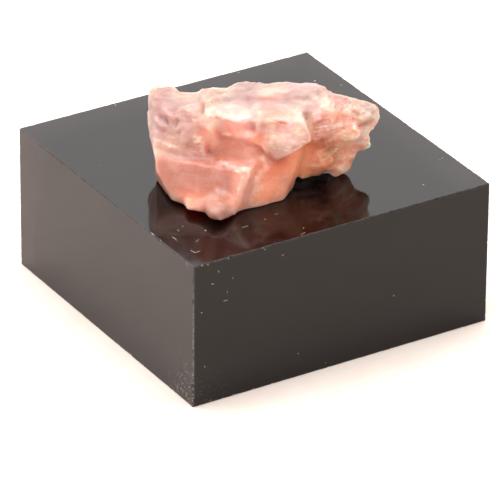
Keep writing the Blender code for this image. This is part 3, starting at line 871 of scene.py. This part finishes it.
def fluorite_finish(mottle, specks):
    finish, tree, shader = new_material("pink_fluorite")
    frost_and_sheen, warmth, painted_light = painted(tree, "frost_and_sheen"), painted(tree, "warmth"), painted(tree, "painted_light")
    crack_and_shade, stain, broken = painted(tree, "crack_and_shade"), painted(tree, "stain"), painted(tree, "broken")
    place = millimetres(tree, -STONE_TURN)
    veils, wisps, traces = layer_patterns(tree, place)
    body = placed_group(tree, mottle, place, Clouds=0.30, Grain=0.20).outputs["Value"]
    tint = spread(tree, cloud(tree, place, 0.33, 2.0, 0.5, 0.5), 0.38, 0.62)

    # The patterns show most where the stone is broken.
    liveliness = spread(tree, broken, 0.1, 0.8, 0.25, 1.0)
    streaks = [
        calc(tree, "MULTIPLY", calc(tree, "MULTIPLY", pattern, whiteness), liveliness)
        for pattern, whiteness in ((veils, VEIL_FROST), (wisps, WISP_FROST), (traces, TRACE_FROST))
    ]
    whitened = total(tree, frost_and_sheen, *streaks, calc(tree, "MULTIPLY", body, CLOUD_FROST))
    creamy = calc(tree, "MAXIMUM", tint, painted(tree, "cream"))
    clear = blend(tree, total(tree, warmth, body), SALMON, ORANGE)
    white = blend(tree, creamy, LILAC_WHITE, CREAM_WHITE)
    colour = blend(tree, calc(tree, "MULTIPLY", whitened, FULL_FROST), clear, white)
    stained = blend(tree, tint, STAIN_BROWN, STAIN_OLIVE)
    colour = blend(tree, stain_share(tree, place, specks, stain, broken), colour, stained)
    # Dark red along cracks, and painted shade in the recess, the crease and under the terrace.
    colour = blend(tree, crack_and_shade, colour, CRACK_AND_SHADE_RED)

    # Painted light and shade: the painted light value lightens or darkens the colour, up to FULL_GLOW.
    brighter = add(tree, "ShaderNodeHueSaturation")
    feed(tree, brighter.inputs["Color"], colour)
    feed(tree, brighter.inputs["Value"], calc(tree, "ADD", calc(tree, "MINIMUM", painted_light, FULL_GLOW), 1.0))
    feed(tree, shader.inputs["Base Color"], brighter.outputs["Color"])
    # Painted glow: past FULL_GLOW the colour is emitted, though the stone is no lamp.
    through = calc(tree, "MAXIMUM", calc(tree, "SUBTRACT", painted_light, FULL_GLOW), 0.0)
    through = calc(tree, "MULTIPLY", through, PAINTED_GLOW_SHARE)
    feed(tree, shader.inputs["Emission Color"], blend(tree, through, NO_LIGHT, colour))
    shader.inputs["Emission Strength"].default_value = 1.0

    fine = cloud(tree, place, 5.0, 2.0, 0.5)
    duller = (calc(tree, "MULTIPLY", frost_and_sheen, 0.2), calc(tree, "MULTIPLY", fine, 0.2))
    feed(tree, shader.inputs["Roughness"], total(tree, 0.22, *duller))
    height = calc(tree, "ADD", fine, calc(tree, "MULTIPLY", veils, 0.6))
    rough_bump(tree, shader, calc(tree, "MULTIPLY", height, liveliness), 0.35, 0.04 * MM)
    shader.inputs["IOR"].default_value = 1.434
    shader.inputs["Transmission Weight"].default_value = 0.08
    shader.inputs["Subsurface Weight"].default_value = 0.95
    shader.inputs["Subsurface Radius"].default_value = (1.0, 0.60, 0.45)
    shader.inputs["Subsurface Scale"].default_value = 2.0 * MM
    return finish


# ---------------------------------------------------------------- the block

# The round of its edges, and into how many pieces it is cut across and along.
EDGE_ROUND = 0.11 * MM
EDGE_STEPS = 4
EDGE_CUTS = 220

# How unevenly the round edge runs, and the knocks on it; more of them low on the near upright edge.
EDGE_UNEVEN = 0.35
EDGE_RUN = 1.3 * MM
KNOCK_RUN = 0.42 * MM
KNOCK_START = (0.12, 0.5)
KNOCK_SIZE = 1.5
KNOCK_LEAST = 0.35
WORN_REACH = 9.0 * MM

# How far scuffs and specks reach, in millimetres, around the near foot, the near upright edge and the near
# top corner, and how far in from that corner they are thickest.
FOOT_WEAR = 6.5
UPRIGHT_WEAR = 10.0
CORNER_WEAR = 7.5
CORNER_INSET = 1.5

ACRYLIC_BLACK = (0.0035, 0.0018, 0.0016, 1.0)
DUST_GREY = (0.62, 0.56, 0.53, 1.0)
# Pink of the painted light on the left face and of the tint near the top's far edges.
LIGHT_AND_TINT_PINK = (0.62, 0.40, 0.42, 1.0)

# Painted light on the left face, for the light from the left and its warm reflection, and more at its far
# end; the pale tint of the top near its far edges; and how wide those two strips are in millimetres.
LEFT_PAINTED_LIGHT = 0.010
LEFT_END_PAINTED_LIGHT = 0.040
FAR_TOP_TINT = 0.022
LEFT_END = 7.0
FAR_TOP = 5.0

# How white each kind of mark is.
FLECK_WHITENESS = 0.32
DUST_WHITENESS = 0.55
GRIT_WHITENESS = 0.8

# Flecks and short scratches around the near corner, in millimetres from the middle of the top: their start,
# end and half width.
FLECKS = (
    ((-15.0, -13.6, 0.0), (-14.9, -14.1, 0.0), 0.08),
    ((-14.9, -14.1, 0.0), (-14.4, -14.1, 0.0), 0.08),
    ((-13.7, -12.3, 0.0), (-13.3, -12.1, 0.0), 0.05),
    ((-8.5, -12.1, 0.0), (-7.9, -12.1, 0.0), 0.06),
    ((-5.9, -11.8, 0.0), (-5.7, -11.8, 0.0), 0.06),
    ((-4.5, -11.4, 0.0), (-4.2, -11.5, 0.0), 0.05),
    ((-15.1, -10.4, 0.0), (-15.1, -11.1, 0.0), 0.06),
    ((-13.2, -9.0, 0.0), (-13.2, -9.1, 0.0), 0.06),
    ((-14.0, -9.4, 0.0), (-14.0, -9.7, 0.0), 0.05),
    ((-3.7, -15.2, 0.0), (-3.6, -15.1, 0.0), 0.06),
    ((-4.5, -16.1, 0.0), (-4.0, -16.0, 0.0), 0.06),
    ((-15.6, -16.4, -0.1), (-15.5, -16.5, -0.1), 0.10),
    ((-15.0, -16.5, -0.1), (-14.9, -16.5, -0.2), 0.07),
    ((-12.8, -16.5, -0.1), (-12.7, -16.5, -0.1), 0.08),
    ((-8.9, -16.5, 0.0), (-8.9, -16.5, -0.1), 0.06),
    ((-14.5, -16.5, -2.3), (-14.3, -16.5, -2.4), 0.06),
    ((-12.8, -16.5, -3.6), (-12.8, -16.5, -3.8), 0.06),
    ((-13.2, -16.5, -4.5), (-12.8, -16.5, -4.5), 0.06),
    ((-13.8, -16.5, -1.1), (-13.7, -16.5, -1.3), 0.04),
    ((-6.8, -16.5, -1.4), (-6.7, -16.5, -1.4), 0.06),
    ((-12.2, -16.5, -2.3), (-12.2, -16.5, -2.4), 0.05),
    ((-16.5, -15.3, -0.1), (-16.5, -15.4, -0.7), 0.05),
    ((-16.4, -8.7, 0.0), (-16.4, -9.2, 0.0), 0.07),
    ((-16.4, -10.3, 0.0), (-16.4, -10.4, 0.0), 0.07),
)


def wear_edges(shape):
    """Widens the round edges unevenly, as knocks do; the flat faces stay flat."""
    for vert in shape.verts:
        run = noise.noise(vert.co / EDGE_RUN)
        knock = float(ease(*KNOCK_START, noise.noise(vert.co / KNOCK_RUN + Vector((5.0, 5.0, 5.0)))))
        worn = math.exp(-(vert.co - BLOCK_LOW).length / WORN_REACH)
        widening = 1.0 + EDGE_UNEVEN * run + KNOCK_SIZE * knock * (KNOCK_LEAST + worn)
        for axis in range(3):
            for side in (BLOCK_LOW[axis], BLOCK_HIGH[axis]):
                inset = vert.co[axis] - side
                if abs(inset) < 1.01 * EDGE_ROUND:
                    vert.co[axis] = side + inset * widening


def make_block(mottle, specks, fleck):
    """The block: round, unevenly worn edges between six flat faces."""
    shape = bmesh.new()
    bmesh.ops.create_cube(shape, size=1.0)
    bmesh.ops.scale(shape, vec=BLOCK_HIGH - BLOCK_LOW, verts=shape.verts)
    bmesh.ops.translate(shape, vec=(BLOCK_LOW + BLOCK_HIGH) / 2, verts=shape.verts)
    bmesh.ops.bevel(
        shape, geom=shape.edges[:], offset=EDGE_ROUND, offset_type="OFFSET", segments=EDGE_STEPS,
        profile=0.5, affect="EDGES", material=-1,
    )
    for face in shape.faces:
        face.smooth = True
    faces_by_size = sorted(shape.faces, key=lambda face: -face.calc_area())
    bmesh.ops.delete(shape, geom=faces_by_size[:6], context="FACES_ONLY")
    long_edges = [edge for edge in shape.edges if edge.calc_length() > 20 * EDGE_ROUND]
    bmesh.ops.subdivide_edges(shape, edges=long_edges, cuts=EDGE_CUTS)
    wear_edges(shape)
    sides = bmesh.ops.holes_fill(shape, edges=shape.edges[:], sides=0)["faces"]
    for face in sides:
        face.smooth = False
    bmesh.ops.recalc_face_normals(shape, faces=shape.faces)
    mesh = mesh_of(shape, "display_block_polished")
    mesh.materials.append(acrylic_finish(mottle, specks, fleck))
    return new_object("block_polished", mesh)


def edge_distance(tree, place):
    """Distance in millimetres from the nearest edge of the block, anywhere on its faces."""
    x, y, z = axes(tree, place)
    from_middle = (x, y, calc(tree, "ADD", z, HALF_BLOCK.z))
    gaps = [
        calc(tree, "SUBTRACT", half, calc(tree, "ABSOLUTE", value))
        for half, value in zip(HALF_BLOCK, from_middle)
    ]
    pairs = [calc(tree, "MAXIMUM", gaps[first], gaps[second]) for first, second in ((0, 1), (1, 2), (0, 2))]
    return calc(tree, "MINIMUM", calc(tree, "MINIMUM", pairs[0], pairs[1]), pairs[2])


def nearness(tree, place, centre, reach):
    """1 at the centre, 0 beyond the reach, both in millimetres."""
    return spread(tree, calc_vector(tree, "DISTANCE", place, centre).outputs["Value"], reach, 0.0)


def left_light_and_top_tint(tree, place, mottle, on_left):
    """Painted light on the left face, and the pale tint near the far edges of the top."""
    x, y, z = axes(tree, place)
    on_top = spread(tree, z, -0.3, -0.05)
    left = spread(tree, y, HALF_BLOCK.y - LEFT_END, HALF_BLOCK.y, LEFT_PAINTED_LIGHT, LEFT_END_PAINTED_LIGHT)
    far_side = calc(tree, "MAXIMUM", x, y)
    top = spread(tree, far_side, HALF_BLOCK.y - FAR_TOP, HALF_BLOCK.y, 0.0, FAR_TOP_TINT)
    light_and_tint = calc(tree, "ADD", calc(tree, "MULTIPLY", on_left, left), calc(tree, "MULTIPLY", on_top, top))
    uneven = placed_group(tree, mottle, stretched(tree, place, (0.5, 0.5, 0.5)), Clouds=0.3, Grain=0.15)
    return calc(tree, "MULTIPLY", light_and_tint, calc(tree, "ADD", uneven.outputs["Value"], 1.0))


def scuffs(tree, place, edge, on_foot):
    """Rubbed patches around the near foot, and scuffs along the edges, most on the near upright one."""
    near_upright = nearness(tree, place, (-HALF_BLOCK.x, -HALF_BLOCK.y, -HALF_BLOCK.z), UPRIGHT_WEAR)
    strokes = cloud(tree, stretched(tree, place, (2.6, 2.6, 4.2)), 1.0, 5.0, 0.72, 2.2)
    on_edge = spread(tree, calc(tree, "ADD", edge, calc(tree, "MULTIPLY", strokes, 0.5)), 0.48, 0.2)
    rubbed = calc(tree, "ADD", calc(tree, "MULTIPLY", near_upright, 0.5), 0.15)
    edge_scuffs = calc(tree, "MULTIPLY", on_edge, rubbed)
    edge_scuffs = calc(tree, "MULTIPLY", edge_scuffs, spread(tree, strokes, 0.40, 0.60))
    foot_scuffs = calc(tree, "MULTIPLY", spread(tree, strokes, 0.56, 0.70), on_foot)
    return foot_scuffs, edge_scuffs


def fleck_marks(tree, place, fleck):
    """1 on any of the flecks and short scratches."""
    marks = 0.0
    for start, end, half_width in FLECKS:
        one = placed_group(tree, fleck, place, Start=start, End=end, Reach=half_width)
        marks = calc(tree, "MAXIMUM", one.outputs["Mask"], marks)
    return marks


def acrylic_finish(mottle, specks, fleck):
    finish, tree, shader = new_material("black_acrylic")
    place = millimetres(tree)
    edge = edge_distance(tree, place)
    near_foot = nearness(tree, place, (-HALF_BLOCK.x, -HALF_BLOCK.y, -2 * HALF_BLOCK.z), FOOT_WEAR)
    corner = (CORNER_INSET - HALF_BLOCK.x, CORNER_INSET - HALF_BLOCK.y, 0.0)
    near_corner = nearness(tree, place, corner, CORNER_WEAR)
    on_left = spread(tree, axes(tree, place)[0], 0.3 - HALF_BLOCK.x, 0.05 - HALF_BLOCK.x)
    on_foot = calc(tree, "MULTIPLY", near_foot, calc(tree, "ADD", on_left, 0.25))

    dust = placed_group(tree, specks, stretched(tree, place, (2.9, 2.9, 2.9)), Reach=0.24)
    feed(tree, dust.inputs["Amount"], total(
        tree, 0.002, spread(tree, edge, 1.6, 0.0, 0.0, 0.02), calc(tree, "MULTIPLY", near_corner, 0.03),
        calc(tree, "MULTIPLY", on_foot, 0.25),
    ))
    grit = placed_group(tree, specks, stretched(tree, place, (0.9, 0.9, 0.9)), Amount=0.003, Reach=0.09)
    foot_scuffs, edge_scuffs = scuffs(tree, place, edge, on_foot)
    marks = total(
        tree, foot_scuffs, edge_scuffs,
        calc(tree, "MULTIPLY", fleck_marks(tree, place, fleck), FLECK_WHITENESS),
        calc(tree, "MULTIPLY", dust.outputs["Mask"], DUST_WHITENESS),
        calc(tree, "MULTIPLY", grit.outputs["Mask"], GRIT_WHITENESS),
    )
    # Painted light on the left face and a pale tint near the top's far edges, over the black.
    lit_and_tinted = blend(tree, left_light_and_top_tint(tree, place, mottle, on_left), ACRYLIC_BLACK, LIGHT_AND_TINT_PINK)
    feed(tree, shader.inputs["Base Color"], blend(tree, marks, lit_and_tinted, DUST_GREY))

    smears = placed_group(tree, mottle, stretched(tree, place, (0.35, 0.8, 0.8)), Clouds=0.03, Grain=0.01)
    feed(tree, shader.inputs["Roughness"], total(
        tree, 0.055, smears.outputs["Value"], calc(tree, "MULTIPLY", marks, 0.5),
        calc(tree, "MULTIPLY", near_corner, 0.05),
    ))
    rough_bump(tree, shader, total(tree, foot_scuffs, edge_scuffs, dust.outputs["Mask"]), 0.4, 0.02 * MM)
    shader.inputs["IOR"].default_value = 1.49
    shader.inputs["Specular IOR Level"].default_value = 0.33
    return finish


# ---------------------------------------------------------------- table, light and camera

TABLE_CREAM = (0.93, 0.81, 0.73, 1.0)
TABLE_SHADE = (0.90, 0.77, 0.69, 1.0)
TABLE_REACH = 3.0


def table_finish(mottle):
    finish, tree, shader = new_material("pale_table")
    place = stretched(tree, millimetres(tree), (0.12, 0.12, 0.12))
    uneven = placed_group(tree, mottle, place, Clouds=0.5, Grain=0.3)
    share = calc(tree, "ADD", uneven.outputs["Value"], 0.5, clamp=True)
    feed(tree, shader.inputs["Base Color"], blend(tree, share, TABLE_CREAM, TABLE_SHADE))
    shader.inputs["Roughness"].default_value = 0.7
    return finish


def make_table(mottle):
    shape = bmesh.new()
    bmesh.ops.create_grid(shape, x_segments=8, y_segments=8, size=TABLE_REACH)
    mesh = mesh_of(shape, "table")
    mesh.materials.append(table_finish(mottle))
    return new_object("table", mesh)


# The studio's back wall and its ceiling light the stone, each less and less away from its middle, and a
# softbox hangs overhead.
BACK_WALL = Vector((0.0, 1.0, 0.25)).normalized()
BACK_LIGHT = 1.02
CEILING = Vector((0.0, 0.0, 1.0))
CEILING_LIGHT = 0.98
LIGHT_FADE = (-0.6, 0.9)
LAMP_PLACE = Vector((-0.05, 0.0, 0.60))
LAMP_SIZE = 0.40
LAMP_WATTS = 2.6


def make_walls():
    """The light of the studio's walls, as the world's background."""
    world = bpy.data.worlds.new("studio")
    bpy.context.scene.world = world
    world.use_nodes = True
    tree = world.node_tree
    back = tree.nodes["Background"]
    back.inputs["Color"].default_value = (1.0, 0.99, 0.98, 1.0)
    looking = add(tree, "ShaderNodeTexCoord").outputs["Generated"]
    shares = []
    for side, strength in ((BACK_WALL, BACK_LIGHT), (CEILING, CEILING_LIGHT)):
        towards = calc_vector(tree, "DOT_PRODUCT", looking, side).outputs["Value"]
        shares.append(spread(tree, towards, *LIGHT_FADE, 0.0, strength))
    feed(tree, back.inputs["Strength"], calc(tree, "ADD", *shares))


def make_softbox():
    """The lamp overhead, turned to the middle of the block's top."""
    lamp = bpy.data.lights.new("softbox", "AREA")
    lamp.shape = "RECTANGLE"
    lamp.size = LAMP_SIZE
    lamp.size_y = LAMP_SIZE
    lamp.energy = LAMP_WATTS
    softbox = new_object("softbox", lamp)
    softbox.location = LAMP_PLACE
    softbox.rotation_euler = (Vector((0.0, 0.0, BLOCK_TOP)) - LAMP_PLACE).to_track_quat("-Z", "Y").to_euler()


# Where the camera aims, how far off it stands, its bearing, dip and roll, and its lens in millimetres.
CAMERA_AIM = Vector((-2.42, -3.63, 7.0)) * MM
CAMERA_DISTANCE = 522.1 * MM
CAMERA_BEARING = math.radians(58.35)
CAMERA_DIP = math.radians(28.28)
CAMERA_ROLL = math.radians(0.467)
CAMERA_LENS = 390.3
SENSOR_WIDTH = 36.0


def make_camera():
    lens = bpy.data.cameras.new("camera")
    lens.sensor_width = SENSOR_WIDTH
    lens.lens = CAMERA_LENS
    lens.clip_start = 0.05
    lens.clip_end = 20.0
    camera = new_object("camera", lens)
    level = math.cos(CAMERA_DIP)
    look = Vector((math.cos(CAMERA_BEARING) * level, math.sin(CAMERA_BEARING) * level, -math.sin(CAMERA_DIP)))
    turn = look.to_track_quat("-Z", "Y").to_matrix().to_4x4() @ Matrix.Rotation(CAMERA_ROLL, 4, "Z")
    camera.matrix_world = Matrix.Translation(CAMERA_AIM - look * CAMERA_DISTANCE) @ turn
    bpy.context.scene.camera = camera


noise.seed_set(NOISE_SEED)
make_camera()
make_walls()
make_softbox()
bpy.context.scene.view_settings.view_transform = "Standard"
shared_mottle = make_mottle()
shared_specks = make_specks()

stone = make_stone(shared_mottle, shared_specks)
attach(stone, "root")
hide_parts("fluorite")

block = make_block(shared_mottle, shared_specks, make_fleck())
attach(block, "root")
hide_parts("display_block")

table = make_table(shared_mottle)
